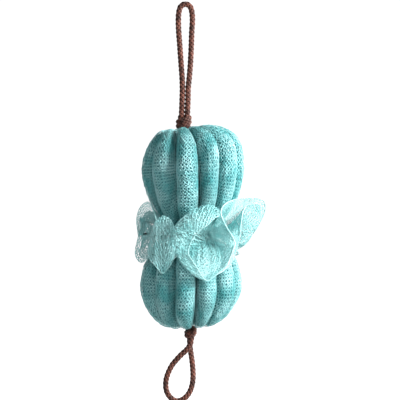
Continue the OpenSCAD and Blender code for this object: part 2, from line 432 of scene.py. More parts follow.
class YarnTree:
    """The node tree that lays yarn along the edges of a guide mesh.

    The guide mesh holds lines of edges. Its points carry three attributes: swing, how far a point
    may move aside, outward, the direction that the yarn's flat side faces, and gather, the yarn's
    share of its full width there.
    """

    def __init__(self) -> None:
        """Builds the tree."""
        tree = bpy.data.node_groups.new("yarn_on_lines", "GeometryNodeTree")
        self.tree = tree
        self.inputs: dict[str, str] = {}
        for name, kind, default in (
            ("Guide", "NodeSocketGeometry", None),
            ("Swing share", "NodeSocketFloat", 1.0),
            ("Yarn width", "NodeSocketFloat", 0.001),
            ("Yarn thickness", "NodeSocketFloat", 0.0006),
            ("Yarn sides", "NodeSocketInt", 4),
            ("Unevenness", "NodeSocketFloat", 0.0),
            ("Seed", "NodeSocketInt", 1),
            ("Finish", "NodeSocketMaterial", None),
        ):
            socket = tree.interface.new_socket(name, in_out="INPUT", socket_type=kind)
            if default is not None:
                socket.default_value = default
            self.inputs[name] = socket.identifier
        tree.interface.new_socket("Yarn", in_out="OUTPUT", socket_type="NodeSocketGeometry")
        given = add_node(tree, "NodeGroupInput").outputs
        swing = add_node(tree, "GeometryNodeInputNamedAttribute", {"Name": "swing"}, data_type="FLOAT_VECTOR")
        outward = add_node(tree, "GeometryNodeInputNamedAttribute", {"Name": "outward"}, data_type="FLOAT_VECTOR")
        gather = add_node(tree, "GeometryNodeInputNamedAttribute", {"Name": "gather"}, data_type="FLOAT")
        swung = add_node(tree, "ShaderNodeVectorMath", {0: swing.outputs["Attribute"], "Scale": given["Swing share"]},
                         operation="SCALE")
        stray = add_node(tree, "FunctionNodeRandomValue", {0: (-1, -1, -1), 1: (1, 1, 1), "Seed": given["Seed"]},
                         data_type="FLOAT_VECTOR")
        strayed = add_node(tree, "ShaderNodeVectorMath", {0: stray.outputs[0], "Scale": given["Unevenness"]},
                           operation="SCALE")
        shift = add_node(tree, "ShaderNodeVectorMath", {0: swung.outputs[0], 1: strayed.outputs[0]}, operation="ADD")
        placed = add_node(tree, "GeometryNodeSetPosition", {"Geometry": given["Guide"], "Offset": shift.outputs[0]})
        lines = add_node(tree, "GeometryNodeMeshToCurve", {"Mesh": placed.outputs[0]})
        faced = add_node(tree, "GeometryNodeSetCurveNormal",
                         {"Curve": lines.outputs[0], "Normal": outward.outputs["Attribute"]}, mode="FREE")
        run = add_node(tree, "GeometryNodeSplineParameter")
        marked = add_node(tree, "GeometryNodeStoreNamedAttribute",
                          {"Geometry": faced.outputs[0], "Name": "yarn_run", "Value": run.outputs["Length"]},
                          data_type="FLOAT", domain="POINT")
        ring = add_node(tree, "GeometryNodeCurvePrimitiveCircle", {"Resolution": given["Yarn sides"], "Radius": 0.5})
        turn = add_node(tree, "GeometryNodeSplineParameter")
        numbered = add_node(tree, "GeometryNodeStoreNamedAttribute",
                            {"Geometry": ring.outputs[0], "Name": "yarn_turn", "Value": turn.outputs["Factor"]},
                            data_type="FLOAT", domain="POINT")
        size = add_node(tree, "ShaderNodeCombineXYZ",
                        {"X": given["Yarn thickness"], "Y": given["Yarn width"], "Z": 1.0})
        profile = add_node(tree, "GeometryNodeTransform", {"Geometry": numbered.outputs[0], "Scale": size.outputs[0]})
        yarn = add_node(tree, "GeometryNodeCurveToMesh",
                        {"Curve": marked.outputs[0], "Profile Curve": profile.outputs[0],
                         "Scale": gather.outputs["Attribute"], "Fill Caps": True})
        smooth = add_node(tree, "GeometryNodeSetShadeSmooth", {"Geometry": yarn.outputs[0]})
        real = add_node(tree, "GeometryNodeRealizeInstances", {"Geometry": smooth.outputs[0]})
        dressed = add_node(tree, "GeometryNodeSetMaterial",
                           {"Geometry": real.outputs[0], "Material": given["Finish"]})
        add_node(tree, "NodeGroupOutput", {0: dressed.outputs[0]})

    def lay(self, name: str, lines: Sequence["Line"], width_mm: float, thickness_mm: float,
            finish: bpy.types.Material, sides: int = 4, uneven_mm: float = 0.0, seed: int = 1) -> bpy.types.Object:
        """Lays yarn along lines and makes it one plain mesh.

        Args:
            name: the piece's name.
            lines: the lines that the yarn follows.
            width_mm: the yarn's full width.
            thickness_mm: its thickness.
            finish: its material.
            sides: how many sides its cross-section has.
            uneven_mm: how far a point may stray.
            seed: the seed of the straying.

        Returns:
            The piece.
        """
        guide = bpy.data.meshes.new(name + "_guide")
        points = np.concatenate([line.points for line in lines])
        edges, start = [], 0
        for line in lines:
            count = len(line.points)
            index = np.arange(start, start + count)
            edges.append(np.stack([index[:-1], index[1:]], axis=1))
            if line.closed:
                edges.append(np.array([[index[-1], index[0]]]))
            start += count
        guide.from_pydata((points * MM).tolist(), np.concatenate(edges).tolist(), [])
        for key, values in (("swing", [line.swing * MM for line in lines]),
                            ("outward", [line.outward for line in lines])):
            attribute = guide.attributes.new(key, "FLOAT_VECTOR", "POINT")
            attribute.data.foreach_set("vector", np.concatenate(values).astype(np.float32).ravel())
        attribute = guide.attributes.new("gather", "FLOAT", "POINT")
        attribute.data.foreach_set("value", np.concatenate([line.gather for line in lines]).astype(np.float32))
        carrier = link(name + "_guide", guide)
        modifier = carrier.modifiers.new("yarn", "NODES")
        modifier.node_group = self.tree
        for key, value in (("Yarn width", width_mm * MM), ("Yarn thickness", thickness_mm * MM),
                           ("Yarn sides", sides), ("Unevenness", uneven_mm * MM), ("Seed", seed), ("Finish", finish)):
            modifier[self.inputs[key]] = value
        seen = carrier.evaluated_get(bpy.context.evaluated_depsgraph_get())
        mesh = bpy.data.meshes.new_from_object(seen)
        mesh.name = name
        bpy.data.objects.remove(carrier)
        bpy.data.meshes.remove(guide)
        face_outwards(mesh)
        return link(name, mesh)


@dataclass
class Line:
    """A line that yarn follows, in millimetres."""

    points: Array
    outward: Array
    gather: Array
    swing: Array
    closed: bool = False

    @classmethod
    def plain(cls, points: Array, outward: Array, width: float = 1.0, closed: bool = False) -> "Line":
        """A line whose yarn has one width and doesn't swing."""
        return cls(points, outward, np.full(len(points), width), np.zeros_like(points), closed)


def course_lines(points: Array, width: float, every: int = 1) -> list[Line]:
    """Yarns that run round a closed net from wale to wale.

    Args:
        points: courses by wales by 3, the net's points in millimetres; the first wale isn't repeated.
        width: the yarn's width, as a share of the wales' yarn.
        every: 1 for a yarn at every course, 2 for every second one.

    Returns:
        One closed line for each course but the first and last.
    """
    outward = unit(np.cross(np.roll(points, -1, axis=1) - points, np.gradient(points, axis=0)))
    return [Line.plain(points[k], outward[k], width, closed=True) for k in range(1, len(points) - 1, every)]


def net_lines(points: Array, full_mm: float, lean: float = 0.5, least: float = 0.3) -> list[Line]:
    """The yarns of a knitted net over a surface: neighbours swing together and apart in turn.

    Args:
        points: courses by wales by 3, the surface's points in millimetres.
        full_mm: the gap between two wales at which the yarn has its full width.
        lean: how far a yarn swings, as a share of the gap to its neighbour.
        least: the least share of its full width that the yarn is pressed to.

    Returns:
        One line for each wale.
    """
    courses, wales = points.shape[:2]
    across = np.gradient(points, axis=1)
    down = np.gradient(points, axis=0)
    outward = unit(np.cross(across, down))
    gap = np.linalg.norm(across, axis=2)
    sign = np.where((np.arange(courses)[:, None] + np.arange(wales)[None, :]) % 2, 1.0, -1.0)
    swing = across * (sign * lean)[:, :, None]
    # Yarn is never drawn quite evenly, so it swells and thins along its way
    row, wale = np.meshgrid(np.arange(courses), np.arange(wales), indexing="ij")
    drawn = 1 + 0.18 * np.sin(row * 0.31 + 2.0 * np.sin(wale * 0.27))
    drawn += np.random.default_rng(courses * 1000 + wales).uniform(-0.32, 0.32, drawn.shape)
    share = np.clip(gap / full_mm, least, 1.3) * drawn
    return [Line(points[:, k], outward[:, k], share[:, k], swing[:, k]) for k in range(wales)]


def split_below(piece: bpy.types.Object, height: float) -> bpy.types.Object:
    """Takes off a piece's faces below a height.

    Args:
        piece: the piece, which keeps the faces above.
        height: where it is split, in metres.

    Returns:
        A piece of its own, with the faces below.
    """
    below = link(piece.name + "_below", piece.data.copy())
    for part, low in ((piece, False), (below, True)):
        shape = bmesh.new()
        shape.from_mesh(part.data)
        gone = [face for face in shape.faces if (face.calc_center_median().z < height) != low]
        bmesh.ops.delete(shape, geom=gone, context="FACES")
        bmesh.ops.holes_fill(shape, edges=[edge for edge in shape.edges if edge.is_boundary])
        shape.to_mesh(part.data)
        shape.free()
    return below


# ---- Tube bunches ----


@dataclass(frozen=True)
class TubeBunch:
    """Ten foam-filled netting tubes round the middle line, from the waist to a knot."""

    name: str
    way: Way
    height: float
    side_shift: float
    tip_lean: float
    right_rise: float
    tip_draw: float
    # Directions of the creases between neighbouring tubes, in degrees from the front towards the
    # right: at the waist, where the bunch is widest, and at the tips
    creases: tuple[tuple[float, float, float], ...]
    body: str
    waist_body: str
    # Share of ring_r, of height and of tube_r along a tube's middle line: the part's own line, with
    # one more point at each end, where the netting runs on into the waist and into the binding
    tube_line: tuple[tuple[float, float, float], ...]
    waist: tuple[float, float, float] = (7.5, 0.0, -270.0)
    ring_r: float = 47.0
    tube_r: float = 14.5
    tube_gap: float = 1.8
    pressed_gap: float = 0.7
    squeeze: float = 1.12
    # The real netting's openings may be finer: these are as coarse as they need to be to show
    wales: int = 46
    course_mm: float = 1.85
    yarn_mm: float = 1.28
    course_yarn: float = 0.6
    yarn_thick_mm: float = 0.6
    # Where wales stand this far apart they have their full yarn
    full_mm: float = 2.0
    uneven_mm: float = 0.5
    core_inset_mm: float = 1.5
    bend_near_mm: float = 3.0
    bend_far_mm: float = 16.0

    def middle_line(self, step_mm: float) -> Array:
        """The tube's middle line at even steps.

        Args:
            step_mm: the distance between two points, at most.

        Returns:
            Rows of radius, height, half thickness and share of the way, in millimetres.
        """
        line = np.array(self.tube_line) * [self.ring_r, self.height, self.tube_r]
        u = np.linspace(0, len(line) - 1, 400)
        fine = along(line, u)
        run = np.concatenate([[0], np.cumsum(np.linalg.norm(np.diff(fine[:, :2], axis=0), axis=1))])
        wanted = np.linspace(0, run[-1], math.ceil(run[-1] / step_mm) + 1)
        return np.stack([np.interp(wanted, run, fine[:, k]) for k in range(3)] + [wanted / run[-1]], axis=1)

    def crease_at(self, n: int, share: Array) -> Array:
        """A crease's direction, in degrees, at a share of the bunch's height."""
        waist, widest, tip = self.creases[n]
        return widest + (waist - widest) * (1 - ramp(share, 0.1, 0.55)) + (tip - widest) * ramp(share, 0.6, 0.95)

    def surface(self, n: int, step_mm: float, sides: int, inset: float, ripple: float = 0.0) -> Array:
        """Points of one tube's skin.

        Args:
            n: the tube's number, from 0.
            step_mm: the distance between two rings, at most.
            sides: points in a ring.
            inset: how far inside the netting's outer face the skin lies.
            ripple: how far the skin waves in and out, unevenly.

        Returns:
            Rings by sides by 3, where they stand, in millimetres.
        """
        line = self.middle_line(step_mm)
        go = unit(np.gradient(line[:, :2], axis=0))
        r, h, thick, share = (line[:, k : k + 1] for k in range(4))
        start = self.crease_at(n, h / self.height)
        end = self.crease_at((n + 1) % 10, h / self.height) + (0 if n < 9 else 360)
        middle, half = np.radians((start + end) / 2), np.radians((end - start) / 2)
        # Netting never lies straight on a tube: its wales drift a little round it
        drift = 0.28 * np.sin(share * 7.0 + n * 1.9) + 0.12 * np.sin(share * 17.0 + n * 0.7)
        turn = 2 * math.pi * (np.arange(sides) + 0.5) / sides + drift
        wave = np.sin(share * 19 + n * 2.1 + 2 * turn) * np.sin(share * 31 + n * 1.3 - 3 * turn)
        thick = thick - inset + ripple * wave
        wide = np.minimum(r * np.tan(half) * self.squeeze, (thick + inset) * self.squeeze**2) - inset
        out = thick * np.cos(turn)
        rr = r + out * go[:, 1:2]
        # The tubes press flat on each other deep in the creases, and part softly further out
        pressed = 1 - ramp(np.cos(turn), -0.65, -0.15)
        gap = self.tube_gap + (self.pressed_gap - self.tube_gap) * pressed
        limit = np.maximum(rr * np.tan(half) - (gap / 2 + inset) / np.cos(half), 0.25)
        reach = np.maximum(wide, 0.2) * np.abs(np.sin(turn))
        power = 3 + 9 * pressed
        side = np.sign(np.sin(turn)) * reach * limit / (reach**power + limit**power) ** (1 / power)
        points = np.stack([rr * np.sin(middle) + side * np.cos(middle),
                           -rr * np.cos(middle) + side * np.sin(middle),
                           h - out * go[:, 0:1]], axis=2)
        return self.placed(points)

    def placed(self, points: Array) -> Array:
        """Puts points of a straight bunch where they stand in this one.

        Args:
            points: any shape, by 3, in millimetres.

        Returns:
            The same shape, in the part's frame.
        """
        share = points[..., 2] / self.height
        draw = 1 - self.tip_draw * ramp(share, 0.6, 0.95)
        lean = ramp(share, 0.5, 0.9) * (1 - ramp(np.hypot(points[..., 0], points[..., 1]), 14, 62))
        rise = self.right_rise * points[..., 0] * ramp(share, 0.4, 0.9)
        x = points[..., 0] * draw + self.side_shift * ramp(share, 0.1, 0.4) + self.tip_lean * lean
        return np.stack([self.waist[0] + x, self.waist[1] + points[..., 1] * draw,
                         self.waist[2] + self.way.value * points[..., 2] + rise], axis=-1)

    def outer_reach(self) -> Array:
        """How far the tubes stand out: rows of height above or below the waist, and reach."""
        line = self.middle_line(2.0)
        go = unit(np.gradient(line[:, :2], axis=0))
        outer = np.stack([line[:, 1] - line[:, 2] * go[:, 0], line[:, 0] + line[:, 2] * go[:, 1]], axis=1)
        keep = outer[: int(len(outer) * 0.55)]
        return keep[np.argsort(keep[:, 0])]

    def blend(self, piece: bpy.types.Object) -> None:
        """Bakes a piece's place into its mesh, on either side of the waist.

        Args:
            piece: a net tube or its core.
        """
        if self.way is Way.UP:
            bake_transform(piece)
        else:
            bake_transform(piece)

    def build(self, yarn: YarnTree, netting: bpy.types.Material, foam: bpy.types.Material) -> None:
        """Makes the ten netting tubes and their foam cores.

        Args:
            yarn: the tree that lays yarn.
            netting: the tubes' finish.
            foam: the cores' finish.
        """
        for n in range(10):
            skin = self.surface(n, self.course_mm, self.wales, self.yarn_thick_mm / 2 + 0.1, ripple=0.25)
            if self.way is Way.DOWN:
                skin = skin[:, ::-1]
            closed = np.concatenate([skin[:, -1:], skin, skin[:, :1]], axis=1)
            lines = net_lines(closed, full_mm=self.full_mm)[1:-1] + course_lines(skin, self.course_yarn, every=2)
            net = yarn.lay(f"{self.name}_net_tube_{n + 1:02d}", lines, self.yarn_mm, self.yarn_thick_mm, netting,
                           uneven_mm=self.uneven_mm, seed=n + 1 + (100 if self.way is Way.DOWN else 0))
            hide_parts(f"{self.name}_sleeve_{n + 1:02d}")
            self.blend(net)
            core_skin = self.surface(n, 4.0, 20, self.core_inset_mm + self.yarn_thick_mm, ripple=0.3)
            core_mesh = grid_mesh(f"{self.name}_foam_{n + 1:02d}", core_skin * MM, wraps=True, caps=True)
            face_outwards(core_mesh)
            core = link(f"{self.name}_foam_{n + 1:02d}", core_mesh)
            core.data.materials.append(foam)
            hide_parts(f"{self.name}_foam_core_{n + 1:02d}")
            self.blend(core)
        LOG.info("%s bunch: ten netting tubes and ten foam cores", self.name)


# ---- Braided cord ----


@dataclass(frozen=True)
class Braid:
    """A round plain braid: as many yarn carriers go one way round as the other, over and under."""

    diameter: float = 6.4
    carriers: int = 4
    pitch: float = 20.0
    yarn_width: float = 2.7
    yarn_thick: float = 1.2
    weave_depth: float = 0.38
    # How far the yarns' crowns stand over the cord's nominal size
    crown: float = 0.45

    def lines(self, route: Array) -> list[Line]:
        """The carriers' lines along a route, and the core inside them.

        Args:
            route: the cord's middle line, in millimetres.

        Returns:
            One line for each carrier, and one for the core.
        """
        path = evenly(route, 0.8)
        side, up = line_frames(path)
        run = np.concatenate([[0], np.cumsum(np.linalg.norm(np.diff(path, axis=0), axis=1))])
        middle_r = self.diameter / 2 - self.yarn_thick / 2 - self.weave_depth + self.crown
        made = []
        for way in (1, -1):
            for k in range(self.carriers):
                angle = 2 * math.pi * (k / self.carriers + way * run / self.pitch)
                radius = middle_r + way * self.weave_depth * np.cos(2 * math.pi * self.carriers * run / self.pitch)
                out = side * np.cos(angle)[:, None] + up * np.sin(angle)[:, None]
                made.append(Line.plain(path + out * radius[:, None], out))
        core = (middle_r - 0.2) * 2 / self.yarn_width
        made.append(Line.plain(path, side, core))
        return made


@dataclass(frozen=True)
class CordLoop:
    """One length of braided cord that leaves a knot and comes back to it."""

    name: str
    node: str
    body: str
    route: tuple[tuple[float, float, float], ...]
    lay: str
    tuck: float = 7.0
    braid: Braid = field(default_factory=Braid)

    def build(self, yarn: YarnTree, finish: bpy.types.Material) -> bpy.types.Object:
        """Args:
            yarn: the tree that lays yarn.
            finish: the cord's finish.

        Returns:
            The cord.
        """
        # Both legs run on a little way, so that the knot holds them
        ends = np.array(self.route, float)
        first, last = unit(ends[0] - ends[1]) * self.tuck, unit(ends[-1] - ends[-2]) * self.tuck
        given = np.concatenate([[ends[0] + first], ends, [ends[-1] + last]])
        smooth = evenly(along(given, np.linspace(0, len(given) - 1, 600)), 0.5)
        lines = self.braid.lines(smooth)
        carriers, core = lines[:-1], lines[-1]
        core.gather[:] = 1.0
        core_width = self.braid.diameter - self.braid.yarn_thick - 2 * self.braid.weave_depth + 0.5
        cord = yarn.lay(self.name, carriers, self.braid.yarn_width, self.braid.yarn_thick, finish, sides=6)
        heart = yarn.lay(self.name + "_core", [core], core_width, core_width, finish, sides=8)
        for piece in (cord, heart):
            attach(piece, self.body)
        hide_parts(self.node)
        return cord


@dataclass(frozen=True)
class CordKnot:
    """A knot of the braided cord, wound over and under itself and drawn tight to a ball."""

    name: str
    node: str
    body: str
    centre: tuple[float, float, float]
    radius: float
    swell_mm: float = 0.0
    start_deg: float = 150.0
    turns: float = 2.7
    tilt_mm: float = 1.3
    braid: Braid = field(default_factory=lambda: Braid(diameter=5.6, pitch=17.0, yarn_width=2.4, yarn_thick=1.1,
                                                       weave_depth=0.32))

    def build(self, yarn: YarnTree, finish: bpy.types.Material) -> bpy.types.Object:
        """Makes the knot.

        Args:
            yarn: the tree that lays yarn.
            finish: the knot's finish.

        Returns:
            The knot.
        """
        # The cord starts on the axis, goes round in tilted turns and ends on the axis again
        t = np.linspace(0, 1, 500)
        angle = 2 * math.pi * self.turns * t + self.start_deg * math.pi / 180
        outer = self.radius + self.swell_mm
        reach = (outer - self.braid.diameter / 2) * ramp(t, -0.02, 0.1) * ramp(1 - t, -0.02, 0.1)
        height = (outer - self.braid.diameter * 0.45) * (1 - 2 * t) + self.tilt_mm * np.cos(angle + 0.6)
        route = np.stack([reach * np.cos(angle), -reach * np.sin(angle), height], axis=1) + np.array(self.centre)
        lines = self.braid.lines(route)
        knot = yarn.lay(self.name, lines, self.braid.yarn_width, self.braid.yarn_thick, finish, sides=6)
        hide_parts(self.node)
        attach(knot, self.body)
        LOG.info("%s: wound knot", self.name)
        return knot


@dataclass(frozen=True)
class ThreadWinding:
    """Thread wound round the tubes' gathered ends."""

    name: str
    node: str
    body: str
    foot: tuple[float, float, float]
    length: float = 12.0
    radius: float = 5.0
    thread: float = 1.2

    def build(self, yarn: YarnTree, finish: bpy.types.Material) -> bpy.types.Object:
        """Makes the winding, in two layers with a few crossing turns.

        Args:
            yarn: the tree that lays yarn.
            finish: the thread's finish.

        Returns:
            The winding.
        """
        made = []
        for layer, (turns, start) in enumerate(((10, 0.0), (4, 1.4))):
            t = np.linspace(0, 1, turns * 28)
            angle = 2 * math.pi * turns * t + start
            r = self.radius - self.thread * (0.5 + 0.9 * (1 - layer))
            # The first layer runs from end to end, and the second goes up and down over it
            share = t if layer == 0 else 0.5 + 0.42 * np.sin(2 * math.pi * t)
            height = self.thread / 2 + (self.length - self.thread) * share
            out = np.stack([np.cos(angle), np.sin(angle), np.zeros_like(t)], axis=1)
            points = out * r + np.stack([np.zeros_like(t), np.zeros_like(t), height], axis=1) + np.array(self.foot)
            made.append(Line.plain(points, out))
        winding = yarn.lay(self.name, made, self.thread, self.thread, finish, sides=6)
        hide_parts(self.node)
        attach(winding, self.body)
        LOG.info("%s: wound thread", self.name)
        return winding


# ---- Waist ----


@dataclass(frozen=True)
class Waist:
    """What holds the waist: two turns of twisted cord, and the netting pressed together inside."""

    at: tuple[float, float, float] = (7.5, 0.0, -270.0)
    tie_r: float = 13.0
    tie_turn_r: float = 1.9
    thread_r: float = 18.0
    thread_turn_r: float = 1.4
    neck_r: float = 9.6

    def ring(self, radius: float, turn_r: float, height: float, plies: int, twist: int) -> list[Line]:
        """The plies of a twisted cord that runs round the waist.

        Args:
            radius: the ring's radius.
            turn_r: the cord's radius.
            height: the ring's height above the waist.
            plies: how many plies the cord has.
            twist: how many turns they make on the way round.

        Returns:
            One closed line for each ply.
        """
        t = np.linspace(0, 2 * math.pi, 220, endpoint=False)
        out = np.stack([np.cos(t), np.sin(t), np.zeros_like(t)], axis=1)
        up = np.array([0.0, 0.0, 1.0])
        made = []
        for k in range(plies):
            angle = twist * t + 2 * math.pi * k / plies
            away = out * np.cos(angle)[:, None] + up * np.sin(angle)[:, None]
            points = np.array(self.at) + [0, 0, height] + out * radius + away * turn_r * 0.5
            made.append(Line.plain(points, away, closed=True))
        return made

    def build(self, yarn: YarnTree, thread: bpy.types.Material, netting: bpy.types.Material) -> None:
        """Makes the tie, the frill's thread and the gathered netting.

        Args:
            yarn: the tree that lays yarn.
            thread: the tie's finish.
            netting: the gathered netting's finish.
        """
        lines = [line for way in (-1, 1)
                 for line in self.ring(self.tie_r, self.tie_turn_r, way * self.tie_turn_r * 0.9, 3, 14)]
        tie = yarn.lay("waist_cord", lines, self.tie_turn_r * 1.1, self.tie_turn_r * 1.1, thread, sides=8)
        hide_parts("waist_tie")
        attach(tie, "waist_tie")
        gather = yarn.lay("gathering_thread", self.ring(self.thread_r, self.thread_turn_r, 0.0, 2, 30),
                          self.thread_turn_r * 1.1, self.thread_turn_r * 1.1, thread, sides=6)
        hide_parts("frill_thread")
        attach(gather, "frill_gathering")
        # Pleats of pressed netting, deepest at both open ends
        height = np.linspace(-1, 1, 25)[:, None]
        turn = np.linspace(0, 2 * math.pi, 120, endpoint=False)[None, :]
        radius = self.neck_r * np.sqrt(np.maximum(1 - (height * 0.93) ** 2, 0)) * (1 + 0.07 * np.cos(20 * turn))
        points = np.stack([radius * np.cos(turn), radius * np.sin(turn), self.neck_r * height + 0 * turn], axis=2)
        neck_mesh = grid_mesh("pressed_netting", points * MM + np.array(self.at) * MM, wraps=True, caps=True)
        face_outwards(neck_mesh)
        neck = link("pressed_netting", neck_mesh)
        neck.data.materials.append(netting)
        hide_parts("gathered_neck")
        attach(neck, "waist_tie")
        LOG.info("waist: tie, gathering thread and pressed netting")


@dataclass(frozen=True)
class Fold:
    """One station of a ruffle: where its netting leaves the thread, and the three points that it
    passes on its way out: the throat, the ridge and the edge. Points count from the waist."""

    gather_deg: float
    throat: tuple[float, float, float]
    ridge: tuple[float, float, float]
    edge: tuple[float, float, float]


def plain_folds(start_deg: float, end_deg: float, count: int, reach: tuple[float, float],
                ridge_z: tuple[float, float], edge_z: tuple[float, float]) -> tuple[Fold, ...]:
    """Even folds for the side of a ruffle that is turned away.

    Args:
        start_deg: where the folds start, from the front towards the right.
        end_deg: where they end.
        count: how many folds there are.
        reach: how far the edge stands out in a valley and at a crest.
        ridge_z: height of the ridge in a valley and at a crest.
        edge_z: height of the edge in a valley and at a crest.

    Returns:
        Three stations for each fold.
    """
    made = []
    for k in range(count * 3):
        gather = start_deg + (end_deg - start_deg) * (k + 0.5) / (count * 3)
        crest = (0.0, 1.0, 0.85)[k % 3]
        turn = math.radians(gather + (0.0, -4.0, 5.0)[k % 3])
        out = reach[0] + (reach[1] - reach[0]) * crest + 2.5 * math.sin(k * 2.7)
        ridge = ridge_z[0] + (ridge_z[1] - ridge_z[0]) * crest + 2 * math.sin(k * 3.7)
        edge = edge_z[0] + (edge_z[1] - edge_z[0]) * crest + 4 * math.sin(k * 1.9)
        way = np.array([math.sin(turn), -math.cos(turn)])
        made.append(Fold(gather, (*(way * 34), ridge * 0.4), (*(way * (out - 10)), ridge), (*(way * out), edge)))
    return tuple(made)


@dataclass(frozen=True)
class Ruffle:
    """One half of the frill: netting gathered on the waist's thread, with its edge in deep folds.

    Angles are counted from the front towards the right, and heights from the waist up.
    """

    name: str
    node: str
    way: Way
    folds: tuple[Fold, ...]
    clearance: float
    at: tuple[float, float, float] = (7.5, 0.0, -270.0)
    start_r: float = 19.2
    wale_mm: float = 3.2
    course_mm: float = 2.7
    yarn_mm: float = 1.05
    yarn_thick_mm: float = 0.4
    course_yarn: float = 0.8
    # Where wales stand this far apart they have their full yarn, and where closer, less of it
    full_mm: float = 2.4
    least_yarn: float = 0.35
    uneven_mm: float = 0.22
    hem_mm: float = 1.3
    hem_thick_mm: float = 1.0
    bend_near_mm: float = 6.0
    bend_far_mm: float = 30.0

    def surface(self, columns: int, rows: int, bunches: Sequence[TubeBunch]) -> Array:
        """Points of the ruffle's cloth, evenly spaced along its edge and along each wale.

        Args:
            columns: points round the waist.
            rows: points from the thread to the edge.
            bunches: the tubes above and below, which the cloth stays clear of.

        Returns:
            Rows by columns by 3, in millimetres.
        """
        table = np.array([(f.gather_deg, *f.throat, *f.ridge, *f.edge) for f in self.folds])
        turn = np.zeros(10)
        turn[0] = 360.0
        closed = np.concatenate([table[-2:] - turn, table, table[:3] + turn])
        fine = np.linspace(0, len(table), 3000)
        edge = along(closed, fine + 2)[:, 4:]
        run = np.concatenate([[0], np.cumsum(np.linalg.norm(np.diff(edge, axis=0), axis=1) * 0.5 + 0.05)])
        u = np.interp(np.linspace(0, run[-1], columns, endpoint=False), run, fine)
        station = along(closed, u + 2)
        gather = np.radians(station[:, 0])
        start = np.stack([self.start_r * np.sin(gather), -self.start_r * np.cos(gather),
                          np.full(columns, self.way.value * 1.2)], axis=1)
        path = np.stack([start, station[:, 1:4], station[:, 4:7], station[:, 7:10]])
        path = np.concatenate([path[:1], path], axis=0)
        dense = along(path.reshape(5, -1), np.linspace(1, 4, 60)).reshape(60, columns, 3)
        steps = np.linalg.norm(np.diff(dense, axis=0), axis=2)
        length = np.concatenate([np.zeros((1, columns)), np.cumsum(steps, axis=0)])
        points = np.empty((rows, columns, 3))
        for k in range(columns):
            wanted = np.linspace(0, length[-1, k], rows)
            for axis in range(3):
                points[:, k, axis] = np.interp(wanted, length[:, k], dense[:, k, axis])
        # Fine pleats run out from the thread and fade towards the edge
        s = np.linspace(0, 1, rows)[:, None]
        pleat = np.sin(u * 2 * math.pi * 1.3 + 0.8 * np.sin(u * 2.1)) * s * (1 - s) * 5.0
        points[..., 2] += pleat * 0.5
        points += unit(points * [1, 1, 0]) * (pleat * 0.6)[..., None]
        for bunch in bunches:
            reach = np.hypot(points[..., 0], points[..., 1])
            tubes = bunch.outer_reach()
            height = points[..., 2] * bunch.way.value
            least = np.interp(height, tubes[:, 0], tubes[:, 1], left=0.0) + self.clearance
            inside = (height > tubes[0, 0]) & (s > 0.1) & (reach < least)
            points[..., :2] *= np.where(inside, least / np.maximum(reach, 1e-6), 1.0)[..., None]
        return points + np.array(self.at)

    def build(self, yarn: YarnTree, netting: bpy.types.Material, hem_highlight: bpy.types.Material,
              bunches: Sequence[TubeBunch]) -> bpy.types.Object:
        """Args:
            yarn: the tree that lays yarn.
            netting: the ruffle's finish.
            hem_highlight: its edge's finish.
            bunches: the tubes above and below.

        Returns:
            The ruffle.
        """
        rough = self.surface(400, 25, bunches)
        cut = float(np.linalg.norm(np.diff(rough, axis=0), axis=2).sum(axis=0).mean())
        rim = float(np.linalg.norm(np.roll(rough[-1], -1, axis=0) - rough[-1], axis=1).sum())
        courses = math.ceil(cut / self.course_mm) + 1
        wales = 2 * math.ceil(rim / self.wale_mm / 2)
        skin = self.surface(wales, courses, bunches)
        closed = np.concatenate([skin[:, -1:], skin, skin[:, :1]], axis=1)
        lines = net_lines(closed, full_mm=self.full_mm, least=self.least_yarn)[1:-1]
        # Every course draws the wales together
        lines += course_lines(closed[:, :-1], self.course_yarn)
        cloth = yarn.lay(self.name, lines, self.yarn_mm, self.yarn_thick_mm, netting,
                         uneven_mm=self.uneven_mm, seed=7)
        outward = unit(skin[-1] - skin[-3])
        # The edge yarn takes the paler finish, a painted highlight along the rim
        hem = yarn.lay(self.name + "_edge", [Line.plain(skin[-1], outward, closed=True)],
                       self.hem_mm, self.hem_thick_mm, hem_highlight, sides=6)
        across, down = np.diff(skin, axis=1)[:-1], np.diff(skin, axis=0)[:, :-1]
        cells = np.linalg.norm(np.cross(across, down), axis=2) * MM * MM
        above = skin[:-1, :-1, 2] > self.at[2]
        waist = self.at[2] * MM
        below = [split_below(piece, waist) for piece in (cloth, hem)]
        self.declare(Way.UP, cloth, hem, float(cells[above].sum()), cut * MM)
        self.declare(Way.DOWN, *below, float(cells[~above].sum()), cut * MM)
        width = float(cells.sum()) / (cut * MM) / MM
        LOG.info("%s: cut %.0f by %.0f mm, edge %.0f mm, %d wales", self.name, width, cut, rim, wales)
        return cloth

    def declare(self, side: Way, cloth: bpy.types.Object, hem: bpy.types.Object, area: float, cut: float) -> None:
        """Args:
            side: the side of the waist.
            cloth: the cloth on that side.
            hem: its edge.
            area: the cloth's area, in square metres; not used.
            cut: how deep the cloth was cut, in metres; not used.
        """
        for piece in (cloth, hem):
            if side is Way.UP:
                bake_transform(piece)
            else:
                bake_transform(piece)
        if side is self.way:
            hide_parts(self.node)


# ---- Studio ----


